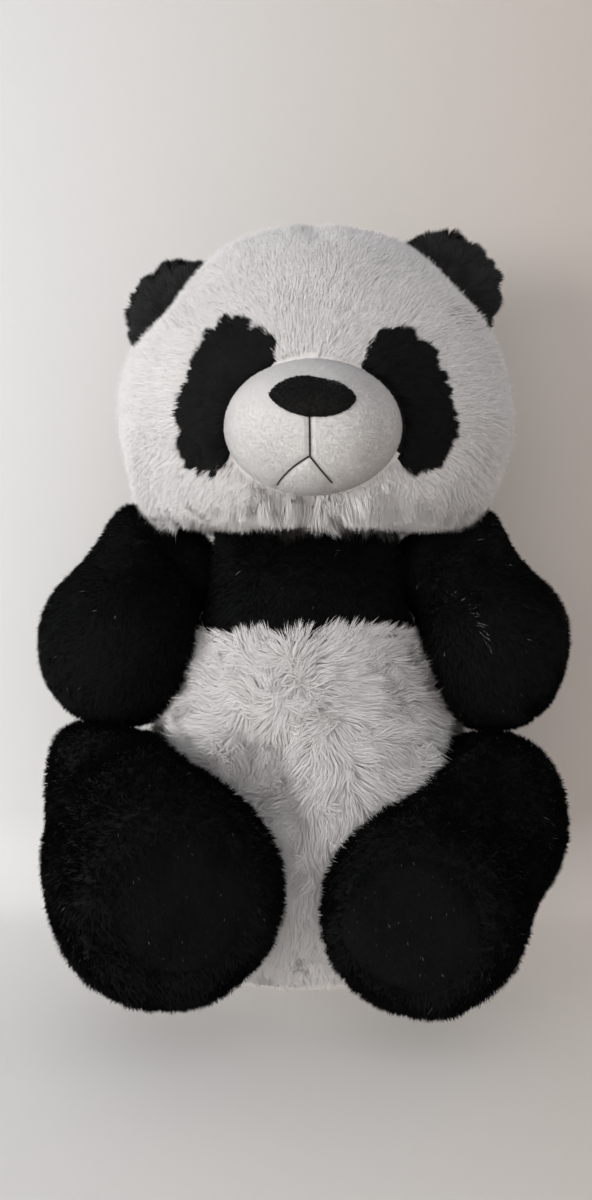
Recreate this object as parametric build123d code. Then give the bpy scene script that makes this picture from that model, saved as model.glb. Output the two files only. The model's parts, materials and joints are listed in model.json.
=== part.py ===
from build123d import *
import math
import os

# A sitting plush panda, built as the sewn and stuffed pieces it is made of. Millimetres, +Z up, facing -Y.
#
# The origin is the centre of the flat seat. "left" is the toy's own left, on the +X side. Fabric panels are thin
# shells whose outer face is the middle of the pile, stuffing fills them, and each limb turns about the seam that
# holds it on, which sits as a ring of thread in a round hollow of the body.

SIDES = {"left": 1, "right": -1}

# Fabric and seams
PANEL = 3.0  # pile and backing of one fabric panel
SEAM = 0.3  # gap between panels where they are sewn
STUFFING_GAP = 0.2  # between a panel and the stuffing behind it
THREAD_R = 0.7
THREAD_PAD = 0.3  # air on each side of a seam ring in its hollow

# Torso: half width, half depth and centre y of level sections, by height
TORSO_SECTIONS = [
    (0, 56, 42, 0),
    (9, 78, 59, 0),
    (36, 99, 77, -2),
    (75, 104, 82, -4),
    (110, 96, 79, -5),
    (145, 78, 71, -5),
    (180, 63, 61, -3),
    (210, 60, 54, 0),
    (231, 57, 47, 4),
    (245, 46, 36, 7),
]
TORSO_TOP = TORSO_SECTIONS[-1][0]
CHEST_BAND_Z = 196  # the black band starts here at the front
BACK_BAND_Z = 150  # and here at the back
SIDE_SEAM_Y = 12
SEAT_SEAM_Z = 8
PELLET_BAG = (52, 44, 24)  # half sizes
CLOSING_STITCHES = 9
CLOSING_PITCH = 9
CLOSING_Z = 60
STITCH_LENGTH = 7

# Neck
NECK = Vector(0, 8, 238)  # centre of the neck's dome, and of the head's motion
NECK_R = 38

# Head
HEAD = Vector(0, -8, 334)
HEAD_HALF_WIDTH = 102
HEAD_DEPTH_SHARE = 0.85
HEAD_UP = 84
HEAD_DOWN = 77
CROWN_POWER = 1.85  # a little narrower than an ellipse above the widest level
JOWL_POWER = 4.4  # fuller below it
HEAD_BACK_SEAM_Y = 20
EYE_PATCH = (46, 313)  # x and z of its centre
EYE_PATCH_HALF = (24, 39)
EYE_PATCH_TILT = 20
EYE_PATCH_DEPTH = 60

# Muzzle
MUZZLE = Vector(0, -88, 294)
MUZZLE_HALF = (43, 40, 32)
MUZZLE_WALL = 1.6
NOSE_Z = 301
NOSE_HALF = (19.5, 8.5)  # a leaf shape with a point at each side
NOSE_T = 1.2
MOUTH_W = 1.6
MOUTH_T = 0.8
PHILTRUM = (291, 275)  # upper and lower end
MOUTH_CORNER = (12.5, -9.5)  # from the philtrum's lower end

# Ears
EAR_LIFT = {"left": 38, "right": 29}  # above level, about the head's centre
EAR_CENTRE_R = 92
EAR_R = 30
EAR_T = 13
EAR_Y = 6
EAR_CLEAR = 5

# Arms
SHOULDER = Vector(74, 4, 226)
SHOULDER_R = 26
UPPER_ARM = Vector(86, 2, 227)
UPPER_ARM_R = 28
PAW = Vector(101, -18, 188)
PAW_R = 42
ARM_CLEAR = 3
ARM_BACK = (-10, 0, 0)  # how the torso turns, in degrees, as an arm sees it when the arm swings back

# Legs
HIP = Vector(88, -28, 92)
HIP_R = 43
HAUNCH = Vector(90, -36, 90)
HAUNCH_R = 48
FOOT = Vector(63, -88, 67)
FOOT_R = 49
LEG_CLEAR = 6
LEG_UP = (18, 0, 0)  # the same when the leg is raised
LEG_OUT = (0, 0, -18)  # and when it is splayed
SOLE_DIRECTION = Vector(-0.16, -0.96, -0.10).normalized()
SOLE_OFFSET = 35
SOLE_PAD_R = 31
SOLE_PAD_T = 2.5
HIP_SEAM_DIRECTION = Vector(-0.9, 0.3, 0.1).normalized()
HIP_SEAM_LATITUDE = 60

HOLLOW = 2 * (THREAD_R + THREAD_PAD)  # between a round root and the hollow that holds it
BIG = 600


def on_side(vector, side):
    return Vector(side * vector.X, vector.Y, vector.Z)


def both_sides(parts):
    """The left-hand parts and their mirror images, named by side."""
    pairs = {}
    for name, shape in parts.items():
        pairs[name.replace("SIDE", "left")] = shape
        pairs[name.replace("SIDE", "right")] = shape.mirror(Plane.YZ)
    return pairs


def ball(centre, radius):
    return Pos(centre) * Sphere(radius)


def ellipsoid(centre, half, grow=0.0):
    """An ellipsoid with the given half sizes, each grown by the same amount."""
    sizes = tuple(h + grow for h in half)
    return Pos(centre) * scale(Sphere(1), by=sizes)


def slab(low, high):
    """An upright box between two corners."""
    size = [b - a for a, b in zip(low, high)]
    middle = [(a + b) / 2 for a, b in zip(low, high)]
    return Pos(*middle) * Box(*size)


def round_limb(root, root_r, tip, tip_r):
    """Two balls and the cone that touches both, as one turned solid."""
    axis = tip - root
    length = axis.length
    lean = math.asin((root_r - tip_r) / length)
    middle_root = (lean - math.pi / 2) / 2
    middle_tip = (lean + math.pi / 2) / 2
    root_edge = (root_r * math.cos(lean), root_r * math.sin(lean))
    tip_edge = (tip_r * math.cos(lean), length + tip_r * math.sin(lean))
    outline = [
        ThreePointArc(
            (0, -root_r),
            (root_r * math.cos(middle_root), root_r * math.sin(middle_root)),
            root_edge,
        ),
        Line(root_edge, tip_edge),
        ThreePointArc(
            tip_edge,
            (tip_r * math.cos(middle_tip), length + tip_r * math.sin(middle_tip)),
            (0, length + tip_r),
        ),
        Line((0, length + tip_r), (0, -root_r)),
    ]
    half = Plane.XZ * make_face(outline)
    return Plane(root, z_dir=axis) * revolve(half, Axis.Z, 360)


def seam_ring(centre, root_r, outward, latitude):
    """A ring of thread round a ball-shaped root, in the middle of its hollow."""
    radius = root_r + HOLLOW / 2
    angle = math.radians(latitude)
    middle = centre + outward.normalized() * (radius * math.cos(angle))
    return Plane(middle, z_dir=outward) * Torus(radius * math.sin(angle), THREAD_R)


def torso_envelope(inset):
    """The torso's outer shape with no hollows, moved inwards by inset."""
    squeeze = (TORSO_TOP - 2 * inset) / TORSO_TOP
    sections = [
        Pos(0, centre_y, inset + z * squeeze) * Ellipse(half_width - inset, half_depth - inset)
        for z, half_width, half_depth, centre_y in TORSO_SECTIONS
    ]
    return loft(sections)


def torso_form(inset):
    """The torso with its neck dome and the hollows for arms and legs."""
    form = torso_envelope(inset) + ball(NECK, NECK_R - inset)
    for side in SIDES.values():
        form -= ball(on_side(SHOULDER, side), SHOULDER_R + HOLLOW + inset)
        form -= ball(on_side(HIP, side), HIP_R + HOLLOW + inset)
    return form


def torso_parts():
    outer = torso_form(0)
    skin = outer - torso_form(PANEL)
    half = SEAM / 2
    front = slab((-BIG, -BIG, -BIG), (BIG, SIDE_SEAM_Y - half, BIG))
    back = slab((-BIG, SIDE_SEAM_Y + half, -BIG), (BIG, BIG, BIG))

    def level(low, high):
        return slab((-BIG, -BIG, low), (BIG, BIG, high))

    seat = level(-BIG, SEAT_SEAM_Z - half)
    belly = level(SEAT_SEAM_Z + half, CHEST_BAND_Z - half)
    chest = level(CHEST_BAND_Z + half, BIG)
    lower_back = level(SEAT_SEAM_Z + half, BACK_BAND_Z - half)
    upper_back = level(BACK_BAND_Z + half, BIG)
    filling = torso_form(PANEL + STUFFING_GAP)
    bag_centre = Vector(0, 0, PANEL + STUFFING_GAP + SEAM + PELLET_BAG[2])
    bag = ellipsoid(bag_centre, PELLET_BAG)
    return {
        "seat_panel": skin & seat,
        "belly_panel": skin & front & belly,
        "chest_band": skin & front & chest,
        "lower_back_panel": skin & back & lower_back,
        "upper_back_panel": skin & back & upper_back,
        "pellet_bag": bag,
        "torso_stuffing": filling - ellipsoid(bag_centre, PELLET_BAG, SEAM),
        "closing_stitches": closing_stitches(outer),
    }


def closing_stitches(torso):
    """The short hand stitches that close the back after stuffing, laid on the fabric."""
    stitches = []
    for i in range(CLOSING_STITCHES):
        z = CLOSING_Z + i * CLOSING_PITCH
        reach = torso & slab((-1, 0, z - 1), (1, BIG, z + 1))
        y = reach.bounding_box().max.Y + THREAD_R + SEAM
        rod = Pos(0, y, z) * Rot(0, 90, 0) * Cylinder(THREAD_R, STITCH_LENGTH)
        stitches.append(rod)
    return Compound(children=stitches)


def head_envelope(inset):
    """The head's outer shape with no hollow: round above its widest level and fuller below."""
    width = HEAD_HALF_WIDTH - inset

    def outline(height, power, steps):
        points = []
        for i in range(steps + 1):
            turn = math.pi / 2 * i / steps
            across = width * math.cos(turn) ** (2 / power)
            up = height * math.sin(turn) ** (2 / power)
            points.append((across, up))
        return points

    upper = outline(HEAD_UP - inset, CROWN_POWER, 6)
    lower = outline(HEAD_DOWN - inset, JOWL_POWER, 6)
    bottom_to_top = [(x, -z) for x, z in reversed(lower)] + upper[1:]
    bottom_to_top[0] = (0, bottom_to_top[0][1])
    bottom_to_top[-1] = (0, bottom_to_top[-1][1])
    curve = Spline(*bottom_to_top, tangents=[(1, 0), (-1, 0)])
    closing = Line(bottom_to_top[-1], bottom_to_top[0])
    turned = revolve(Plane.XZ * make_face([curve, closing]), Axis.Z, 360)
    share = (HEAD_HALF_WIDTH * HEAD_DEPTH_SHARE - inset) / width
    return Pos(HEAD) * scale(turned, by=(1, share, 1))


def eye_patch_cutter(grow=0.0):
    """An oval bar along Y that marks the left eye patch."""
    x, z = EYE_PATCH
    oval = Ellipse(EYE_PATCH_HALF[0] + grow, EYE_PATCH_HALF[1] + grow)
    bar = extrude(oval, 2 * EYE_PATCH_DEPTH)
    turned = Rot(90, 0, 0) * Rot(0, 0, EYE_PATCH_TILT) * bar
    return Pos(x, HEAD.Y - EYE_PATCH_DEPTH / 3, z) * turned


def on_muzzle(cutter, thickness):
    """What cutter covers of a layer laid on the muzzle's cover."""
    return (ellipsoid(MUZZLE, MUZZLE_HALF, thickness + SEAM) - ellipsoid(MUZZLE, MUZZLE_HALF, SEAM)) & cutter


def forward_bar(start, end, width):
    """A bar along Y in front of the muzzle, drawn as a line in the XZ plane."""
    dx, dz = end[0] - start[0], end[1] - start[1]
    length = math.hypot(dx, dz) + width
    bar = Box(length, BIG, width)
    turned = Rot(0, -math.degrees(math.atan2(dz, dx)), 0) * bar
    return Pos((start[0] + end[0]) / 2, MUZZLE.Y - BIG / 2, (start[1] + end[1]) / 2) * turned


def mouth():
    top, bottom = PHILTRUM
    fork = (0, bottom)
    lines = forward_bar((0, top), fork, MOUTH_W)
    for side in SIDES.values():
        corner = (side * MOUTH_CORNER[0], bottom + MOUTH_CORNER[1])
        lines += forward_bar(fork, corner, MOUTH_W)
    return on_muzzle(lines, MOUTH_T)


def nose():
    across, up = NOSE_HALF
    upper = ThreePointArc((-across, 0), (0, up), (across, 0))
    lower = ThreePointArc((across, 0), (0, -up), (-across, 0))
    leaf = extrude(make_face([upper, lower]), BIG)
    return on_muzzle(Pos(0, MUZZLE.Y, NOSE_Z) * Rot(90, 0, 0) * leaf, NOSE_T)


def head_parts():
    neck_hollow = NECK_R + HOLLOW
    outer = head_envelope(0) - ball(NECK, neck_hollow)
    inner = head_envelope(PANEL) - ball(NECK, neck_hollow + PANEL)
    skin = outer - inner
    half = SEAM / 2
    back = slab((-BIG, HEAD_BACK_SEAM_Y + half, -BIG), (BIG, BIG, BIG))
    front = slab((-BIG, -BIG, -BIG), (BIG, HEAD_BACK_SEAM_Y - half, BIG))
    face = (skin & front) - ellipsoid(MUZZLE, MUZZLE_HALF, SEAM)
    cheek = face & slab((half, -BIG, -BIG), (BIG, BIG, BIG))
    sides = {
        "face_panel_SIDE": cheek - eye_patch_cutter(SEAM),
        "eye_patch_SIDE": cheek & eye_patch_cutter(),
    }
    parts = {"head_back_panel": skin & back} | both_sides(sides)
    muzzle_skin = ellipsoid(MUZZLE, MUZZLE_HALF) - ellipsoid(MUZZLE, MUZZLE_HALF, -MUZZLE_WALL)
    parts["muzzle_cover"] = muzzle_skin - head_envelope(0)
    filling = head_envelope(PANEL + STUFFING_GAP) - ball(NECK, neck_hollow + PANEL + STUFFING_GAP)
    muzzle_filling = ellipsoid(MUZZLE, MUZZLE_HALF, -MUZZLE_WALL - STUFFING_GAP)
    parts["head_stuffing"] = filling + muzzle_filling
    parts["nose"] = nose()
    parts["mouth_stitches"] = mouth()
    return parts


def ear_parts(name, side):
    """A round two-layer ear that stands on the side of the crown."""
    lift = math.radians(EAR_LIFT[name])
    outward = Vector(side * math.cos(lift), 0, math.sin(lift))
    centre = Vector(HEAD.X, EAR_Y, HEAD.Z) + outward * EAR_CENTRE_R
    disc = Pos(centre) * Rot(90, 0, 0) * Cylinder(EAR_R, EAR_T)
    disc = fillet(disc.edges(), EAR_T * 0.45)
    ear = disc - head_envelope(-EAR_CLEAR)
    half = SEAM / 2
    return {
        f"ear_{name}_front": ear & slab((-BIG, -BIG, -BIG), (BIG, EAR_Y - half, BIG)),
        f"ear_{name}_back": ear & slab((-BIG, EAR_Y + half, -BIG), (BIG, BIG, BIG)),
    }


def limb_form(root, root_r, top, top_r, tip, tip_r, clear, travels, inset):
    """A limb with a ball for its root, kept clear of the torso at rest and at the ends of its travels."""
    limb = round_limb(top, top_r - inset, tip, tip_r - inset)
    body = torso_envelope(-clear - inset)
    limb -= body
    for turn in travels:
        limb -= Pos(root) * Rot(*turn) * Pos(-root) * body
    return limb + ball(root, root_r - inset)


def arm_form(inset):
    upper = (UPPER_ARM, UPPER_ARM_R)
    return limb_form(SHOULDER, SHOULDER_R, *upper, PAW, PAW_R, ARM_CLEAR, [ARM_BACK], inset)


def two_panels(skin, plane):
    """A skin parted by a seam along a plane: the piece on its normal's side comes first."""
    above = plane * Pos(0, 0, BIG / 2 + SEAM / 2) * Box(BIG, BIG, BIG)
    below = plane * Pos(0, 0, -BIG / 2 - SEAM / 2) * Box(BIG, BIG, BIG)
    return skin & above, skin & below


def arm_parts():
    skin = arm_form(0) - arm_form(PANEL)
    along = PAW - SHOULDER
    back, front = two_panels(skin, Plane(SHOULDER, x_dir=along, z_dir=Vector(1, 0, 0).cross(along)))
    return {
        "arm_SIDE_front_panel": front,
        "arm_SIDE_back_panel": back,
        "arm_SIDE_stuffing": arm_form(PANEL + STUFFING_GAP),
        "shoulder_SIDE_seam": seam_ring(SHOULDER, SHOULDER_R, Vector(-1, 0, 0), 35),
    }


def sole_plane():
    """Its normal points out of the sole."""
    return Plane(FOOT + SOLE_DIRECTION * SOLE_OFFSET, z_dir=SOLE_DIRECTION)


def leg_form(inset):
    haunch = (HAUNCH, HAUNCH_R)
    form = limb_form(HIP, HIP_R, *haunch, FOOT, FOOT_R, LEG_CLEAR, [LEG_UP, LEG_OUT], inset)
    return form - sole_plane() * Pos(0, 0, BIG / 2 - inset) * Box(BIG, BIG, BIG)


def leg_parts():
    skin = leg_form(0) - leg_form(PANEL)
    skin -= sole_plane() * Cylinder(SOLE_PAD_R + SEAM, 2 * PANEL)
    along = FOOT - HIP
    upper, lower = two_panels(skin, Plane(HIP, x_dir=along, z_dir=along.cross(Vector(0, 0, 1)).cross(along)))
    return {
        "leg_SIDE_upper_panel": upper,
        "leg_SIDE_lower_panel": lower,
        "sole_pad_SIDE": sole_plane() * Pos(0, 0, -SOLE_PAD_T / 2) * Cylinder(SOLE_PAD_R, SOLE_PAD_T),
        "leg_SIDE_stuffing": leg_form(PANEL + STUFFING_GAP),
        "hip_SIDE_seam": seam_ring(HIP, HIP_R, HIP_SEAM_DIRECTION, HIP_SEAM_LATITUDE),
    }


def build():
    parts = torso_parts()
    parts["neck_seam"] = seam_ring(NECK, NECK_R, Vector(0, 0, 1), 50)
    parts |= head_parts()
    for name, side in SIDES.items():
        parts |= ear_parts(name, side)
    parts |= both_sides(arm_parts())
    parts |= both_sides(leg_parts())
    return parts


os.makedirs("parts", exist_ok=True)
for node, shape in build().items():
    export_step(shape, f"parts/{node}.step")
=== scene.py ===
"""Looks for the plush panda: stuffed skins, pile made of real hairs, and a plain studio. Metres, +Z up."""

import bpy
import math
import numpy as np
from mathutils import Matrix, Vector, kdtree
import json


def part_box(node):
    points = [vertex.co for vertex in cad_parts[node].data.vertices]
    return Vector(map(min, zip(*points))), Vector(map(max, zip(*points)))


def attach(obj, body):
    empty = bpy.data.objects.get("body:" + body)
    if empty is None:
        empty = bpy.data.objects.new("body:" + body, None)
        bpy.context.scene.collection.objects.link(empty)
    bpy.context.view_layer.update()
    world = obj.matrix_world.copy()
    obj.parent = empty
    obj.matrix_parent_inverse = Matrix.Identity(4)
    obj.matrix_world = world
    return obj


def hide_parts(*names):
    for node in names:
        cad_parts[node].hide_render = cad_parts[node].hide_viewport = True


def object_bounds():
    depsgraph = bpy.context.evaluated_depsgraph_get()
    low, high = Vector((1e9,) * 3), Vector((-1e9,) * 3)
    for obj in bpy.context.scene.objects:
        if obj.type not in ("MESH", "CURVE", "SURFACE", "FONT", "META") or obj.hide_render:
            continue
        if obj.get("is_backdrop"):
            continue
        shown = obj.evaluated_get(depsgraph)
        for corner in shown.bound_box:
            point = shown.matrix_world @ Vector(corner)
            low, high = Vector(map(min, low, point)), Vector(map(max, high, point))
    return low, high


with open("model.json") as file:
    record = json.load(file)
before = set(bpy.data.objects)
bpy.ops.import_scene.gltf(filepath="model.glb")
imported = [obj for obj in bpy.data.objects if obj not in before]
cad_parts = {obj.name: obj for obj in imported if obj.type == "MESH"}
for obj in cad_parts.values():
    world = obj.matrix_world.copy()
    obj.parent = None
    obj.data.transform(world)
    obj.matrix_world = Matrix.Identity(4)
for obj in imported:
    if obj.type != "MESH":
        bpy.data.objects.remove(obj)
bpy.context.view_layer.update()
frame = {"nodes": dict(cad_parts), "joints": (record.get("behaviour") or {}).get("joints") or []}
MM = 0.001

SIDES = {"left": 1, "right": -1}


def joint(name):
    """A joint's place, in millimetres, and its axis."""
    found = next(j for j in frame["joints"] if j["name"] == name)
    return np.array(found["pos_m"]) / MM, np.array(found["axis"])


def node_box(*names):
    """Lowest and highest corner, in millimetres, of the box round some CAD nodes."""
    corners = [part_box(name) for name in names]
    low = np.min([np.array(c[0]) for c in corners], 0) / MM
    high = np.max([np.array(c[1]) for c in corners], 0) / MM
    return low, high


NECK = joint("neck_turn")[0]
SHOULDER = joint("arm_left_swing")[0]
HIP = joint("leg_left_raise")[0]

HEAD_ASIDE = np.array((4.0, 0, 0))  # the soft head leans a little to its left on the frame's neck
MUZZLE_ASIDE = np.array((2.2, 0, 0))
NOSE_ASIDE = np.array((-0.8, 0, 0))  # on the muzzle
MUZZLE_DEPTH = 40.0
low, high = node_box("muzzle_cover")
MUZZLE_HALF = np.array(((high[0] - low[0]) / 2, MUZZLE_DEPTH, (high[2] - low[2]) / 2 + 0.3))
MUZZLE = np.array(((low[0] + high[0]) / 2, low[1] + MUZZLE_DEPTH, (low[2] + high[2]) / 2)) + MUZZLE_ASIDE
low, high = node_box("nose")
NOSE = (low + high) / 2 + MUZZLE_ASIDE + NOSE_ASIDE
MOUTH_TOP = node_box("mouth_stitches")[1][2]
low, high = node_box("eye_patch_left")
PATCH = (low + high) / 2

PAW_R = 42.0
low, high = node_box("arm_left_front_panel", "arm_left_back_panel")
PAW = np.array((high[0] - PAW_R, low[1] + PAW_R, low[2] + PAW_R))
SOLE_DIRECTION = np.array((-0.16, -0.96, -0.10))
SOLE_DIRECTION /= np.linalg.norm(SOLE_DIRECTION)
SOLE_DEPTH = 33.75  # from the foot's middle to the middle of the sole pad
low, high = node_box("sole_pad_left")
FOOT = (low + high) / 2 - SOLE_DIRECTION * SOLE_DEPTH

DENSITY = 1.0  # of the pile
FLOOR_GAP = 0.3  # hairs stay this far above the floor
BODY_VOXEL, LIMB_VOXEL = 5, 4  # millimetres
PRESSURE = 3.0  # of the stuffing in the cloth simulation
BODY_CAP, LIMB_CAP = 5, 4  # how far the simulation may move a point, in millimetres


# ---------------------------------------------------------------- numbers

def unit(v):
    return v / np.maximum(np.linalg.norm(v, axis=-1, keepdims=True), 1e-9)


def dot(a, b):
    return (a * b).sum(-1, keepdims=True)


def on_side(v, side):
    """Mirrored to the toy's right where side is -1."""
    return v * np.array((side, 1, 1))


def smoothstep(low, high, x):
    t = np.clip((x - low) / (high - low), 0, 1)
    return t * t * (3 - 2 * t)


def hump(x, centre, width):
    """1 at the centre, falling smoothly to 0 on both sides."""
    return np.exp(-(((x - centre) / width) ** 2))


def wave(points, scale, seed, channels=3, terms=10):
    """Smooth random values, roughly -1 to 1, that vary over about scale millimetres."""
    rng = np.random.default_rng(seed)
    total = np.zeros((len(points), channels))
    for _ in range(terms):
        k = unit(rng.normal(size=3)) * (2 * math.pi / scale) * rng.uniform(0.5, 1.4)
        phase = rng.uniform(0, 2 * math.pi, channels)
        weight = rng.normal(size=channels)
        total += weight * np.sin((points @ k)[:, None] + phase)
    return total / math.sqrt(terms)


# ---------------------------------------------------------------- meshes

class Skin:
    """A triangle mesh in millimetres."""

    def __init__(self, verts, tris):
        self.verts, self.tris = np.array(verts, float), np.array(tris, int)

    def corners(self):
        return (self.verts[self.tris[:, i]] for i in range(3))

    def normals(self):
        a, b, c = self.corners()
        face = np.cross(b - a, c - a)
        out = np.zeros_like(self.verts)
        for i in range(3):
            np.add.at(out, self.tris[:, i], face)
        return unit(out)


def read_skin(mesh):
    mesh.calc_loop_triangles()
    verts = coordinates(mesh)
    tris = np.zeros(len(mesh.loop_triangles) * 3, np.int32)
    mesh.loop_triangles.foreach_get("vertices", tris)
    return Skin(verts.reshape(-1, 3) / MM, tris.reshape(-1, 3))


def linked(name, data):
    """A new object in the scene."""
    obj = bpy.data.objects.new(name, data)
    bpy.context.scene.collection.objects.link(obj)
    return obj


def paint(mesh, *materials):
    mesh.materials.clear()
    for material in materials:
        mesh.materials.append(material)


def add_object(name, mesh, material):
    paint(mesh, material)
    return linked(name, mesh)


def dress(obj, body, slot, *replaced):
    """Gives a piece its body and the CAD nodes it stands for. slot, its colour slot, is not used."""
    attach(obj, body)
    if replaced:
        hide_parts(*replaced)


def mesh_from(name, verts, faces):
    mesh = bpy.data.meshes.new(name)
    mesh.from_pydata((np.array(verts) * MM).tolist(), [], [list(f) for f in faces])
    mesh.update()
    mesh.polygons.foreach_set("use_smooth", [True] * len(mesh.polygons))
    return mesh


def ring_quads(rings, segments, turn=(0, 1, 2, 3)):
    """Quads between rings of vertices. turn is the order of each quad's corners."""
    faces = []
    for i in range(rings):
        for j in range(segments):
            k = (j + 1) % segments
            quad = (i * segments + j, i * segments + k, (i + 1) * segments + k, (i + 1) * segments + j)
            faces.append(tuple(quad[corner] for corner in turn))
    return faces


def coordinates(mesh):
    """The mesh's points in metres, one after another."""
    out = np.zeros(len(mesh.vertices) * 3)
    mesh.vertices.foreach_get("co", out)
    return out


def evaluated(obj):
    """The object's mesh with its modifiers applied."""
    graph = bpy.context.evaluated_depsgraph_get()
    return bpy.data.meshes.new_from_object(obj.evaluated_get(graph))


def largest_shell(mesh):
    """Drops every island but the biggest, such as the inside of a hollow."""
    count = len(mesh.vertices)
    edges = np.zeros(len(mesh.edges) * 2, np.int32)
    mesh.edges.foreach_get("vertices", edges)
    edges = edges.reshape(-1, 2)
    label = np.arange(count)
    while True:
        low = np.minimum(label[edges[:, 0]], label[edges[:, 1]])
        new = label.copy()
        np.minimum.at(new, edges[:, 0], low)
        np.minimum.at(new, edges[:, 1], low)
        new = new[new]
        if (new == label).all():
            break
        label = new
    values, counts = np.unique(label, return_counts=True)
    keep = label == values[counts.argmax()]
    if keep.all():
        return mesh
    faces = [list(p.vertices) for p in mesh.polygons if keep[p.vertices[0]]]
    index = np.cumsum(keep) - 1
    verts = coordinates(mesh).reshape(-1, 3)[keep] / MM
    return mesh_from(mesh.name, verts, [[int(index[v]) for v in f] for f in faces])


def remeshed(node, name, voxel):
    """A closed, even copy of a CAD solid."""
    obj = linked(name + "_source", frame["nodes"][node].data.copy())
    remesh = obj.modifiers.new("remesh", "REMESH")
    remesh.mode = "VOXEL"
    remesh.voxel_size = voxel * MM
    smooth = obj.modifiers.new("smooth", "SMOOTH")
    smooth.factor = 0.5
    smooth.iterations = 6
    mesh = evaluated(obj)
    bpy.data.objects.remove(obj)
    return largest_shell(mesh)


def puffed(mesh, pins, cap):
    """The mesh as stuffing fills it out: cloth under pressure, held where pins is 1, moved at most cap mm."""
    obj = linked("puff", mesh)
    group = obj.vertex_groups.new(name="pins")
    for i in np.nonzero(pins > 0.02)[0]:
        group.add([int(i)], float(pins[i]), "REPLACE")
    cloth = obj.modifiers.new("cloth", "CLOTH")
    settings = cloth.settings
    settings.quality = 5
    settings.mass = 0.3
    settings.tension_stiffness = 15
    settings.compression_stiffness = 15
    settings.shear_stiffness = 5
    settings.bending_stiffness = 0.5
    settings.use_pressure = True
    settings.uniform_pressure_force = PRESSURE
    settings.effector_weights.gravity = 0
    settings.vertex_group_mass = "pins"
    cloth.collision_settings.use_collision = False
    before = coordinates(mesh)
    scene = bpy.context.scene
    for step in range(1, 21):
        scene.frame_set(step)
    result = evaluated(obj)
    scene.frame_set(1)
    bpy.data.objects.remove(obj)
    move = (coordinates(result) - before).reshape(-1, 3)
    size = np.linalg.norm(move, axis=1, keepdims=True)
    limit = cap * MM
    move *= np.where(size > limit, limit / np.maximum(size, 1e-9), 1)
    result.vertices.foreach_set("co", (before.reshape(-1, 3) + move).ravel())
    return result


def shaped(mesh, shape, name, *materials):
    """An object with shape(points, normals) applied to the mesh's points, and one subdivision."""
    skin = read_skin(mesh)
    points = shape(skin.verts, skin.normals())
    mesh.vertices.foreach_set("co", (points * MM).ravel())
    mesh.update()
    obj = linked(name, mesh)
    subdivide = obj.modifiers.new("subdivide", "SUBSURF")
    subdivide.levels = subdivide.render_levels = 1
    new = evaluated(obj)
    obj.modifiers.clear()
    obj.data = new
    new.name = name
    new.polygons.foreach_set("use_smooth", [True] * len(new.polygons))
    paint(new, *materials)
    return obj


# ---------------------------------------------------------------- materials

class Shading:
    """A material's nodes, each made and wired in one call."""

    def __init__(self, name):
        self.material = bpy.data.materials.new(name)
        self.material.use_nodes = True
        self.tree = self.material.node_tree
        self.tree.nodes.clear()
        self.out = self.add("OutputMaterial")
        self.shader = self.add("BsdfPrincipled")
        self.fill(self.out, {"Surface": self.shader.outputs[0]})

    def add(self, kind, inputs=None, **settings):
        node = self.tree.nodes.new("ShaderNode" + kind)
        for key, value in settings.items():
            setattr(node, key, value)
        self.fill(node, inputs or {})
        return node

    def fill(self, node, inputs):
        """Sets inputs by name or number, to a value or to another node's output."""
        for key, value in inputs.items():
            if isinstance(value, bpy.types.NodeSocket):
                self.tree.links.new(value, node.inputs[key])
            else:
                node.inputs[key].default_value = value

    def finish(self, inputs):
        self.fill(self.shader, inputs)
        return self.material


LINT = (0.16, 0.16, 0.16)


def pile_material(name, root, tip, spread, roughness, specular):
    """Hair: from root to tip colour, each hair and tuft a bit different. Both sides shade by the given normal."""
    m = Shading(name)
    data = m.add("Attribute", attribute_name="hair")
    split = m.add("SeparateColor", {0: data.outputs["Color"]})
    mix = m.add("Mix", {"A": (*root, 1), "B": (*tip, 1), "Factor": split.outputs["Green"]}, data_type="RGBA")
    tones = [m.add("Math", {0: split.outputs[channel], 1: spread, 2: 1 - spread}, operation="MULTIPLY_ADD")
             for channel in ("Red", "Blue")]
    both = m.add("Math", {0: tones[0].outputs[0], 1: tones[1].outputs[0]}, operation="MULTIPLY")
    scaled = m.add("VectorMath", {0: mix.outputs["Result"], "Scale": both.outputs[0]}, operation="SCALE")
    lint = m.add("Mix", {"A": (*LINT, 1), "B": scaled.outputs[0], "Factor": data.outputs["Alpha"]},
                 data_type="RGBA")
    geometry = m.add("NewGeometry")
    flip = m.add("Math", {0: geometry.outputs["Backfacing"], 1: -2, 2: 1}, operation="MULTIPLY_ADD")
    normal = m.add("VectorMath", {0: geometry.outputs["Normal"], "Scale": flip.outputs[0]}, operation="SCALE")
    return m.finish({"Base Color": lint.outputs["Result"], "Normal": normal.outputs[0], "Roughness": roughness,
                     "Specular IOR Level": specular})


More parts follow.
